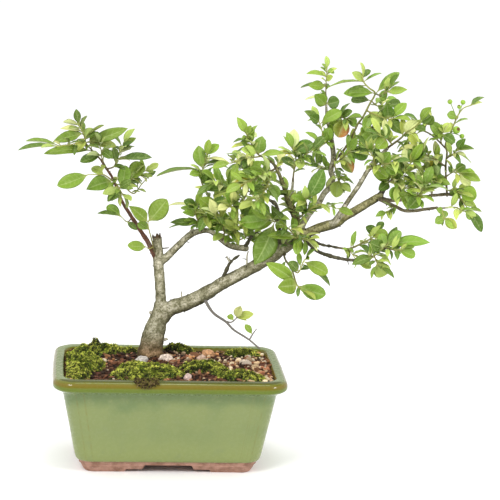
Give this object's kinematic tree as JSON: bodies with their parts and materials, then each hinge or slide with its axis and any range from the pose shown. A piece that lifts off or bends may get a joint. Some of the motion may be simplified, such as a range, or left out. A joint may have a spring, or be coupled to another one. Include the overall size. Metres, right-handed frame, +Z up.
{
  "type": "firethorn bonsai in a pot",
  "caption": "Firethorn bonsai with a low leaning limb and leafy sprays, growing in a glazed rectangular pot with soil, moss and pebbles.",
  "frame": {"origin": "under the middle of the whole tree's bounding box, on the surface that the pot stands on", "axes": "+Z up, +X along the length of the pot towards the side that the tree leans to, +Y to the back of the pot"},
  "size_m": [0.408, 0.14, 0.3592],
  "materials": {
    "glaze": "gloss sage-green glaze over bare clay feet",
    "screen": "matt black mesh",
    "soil": "rough, crumbly",
    "stone_pale": "matt",
    "stone_warm": "matt",
    "stone_grey": "matt",
    "moss": "fine soft tufts",
    "bark": "rough, mottled",
    "leaf": "satin"
  },
  "bodies": {
    "root": {"pot": "glaze", "drain_screen_1": "screen", "drain_screen_2": "screen", "soil": "soil", "stone_pale_front": "stone_pale", "stone_white_right": "stone_pale", "stone_orange": "stone_warm", "stone_cream": "stone_warm", "stone_grey_right": "stone_grey", "stone_mauve": "stone_grey", "moss_left": "moss", "moss_front": "moss", "moss_front_right": "moss", "moss_back": "moss", "moss_right_back": "moss", "wood": "bark", "spray_left_tip": "leaf", "spray_left_middle": "leaf", "spray_left_inner": "leaf", "spray_left_low": "leaf", "spray_left_back": "leaf", "spray_left_pair": "leaf", "spray_left_side": "leaf", "spray_mid_tall": "leaf", "spray_mid_left": "leaf", "spray_mid_front": "leaf", "spray_mid_clump": "leaf", "spray_centre_fold": "leaf", "spray_centre_crown": "leaf", "spray_centre_front": "leaf", "spray_centre_back": "leaf", "spray_centre_left": "leaf", "spray_riser_side": "leaf", "spray_riser_top": "leaf", "spray_limb_top": "leaf", "spray_under": "leaf", "spray_column_top": "leaf", "spray_column_middle": "leaf", "spray_column_low": "leaf", "spray_column_back": "leaf", "spray_fork": "leaf", "spray_second": "leaf", "spray_pale_end": "leaf", "spray_pale_side": "leaf", "spray_stub": "leaf", "spray_stub_back": "leaf", "spray_upper": "leaf", "spray_upper_front": "leaf", "spray_lower": "leaf", "spray_lower_left": "leaf", "spray_upright": "leaf", "spray_right_tip": "leaf", "spray_hanging": "leaf", "spray_lower_right": "leaf", "spray_lower_back": "leaf", "spray_dead_twig": "leaf"}
  },
  "joints": []
}
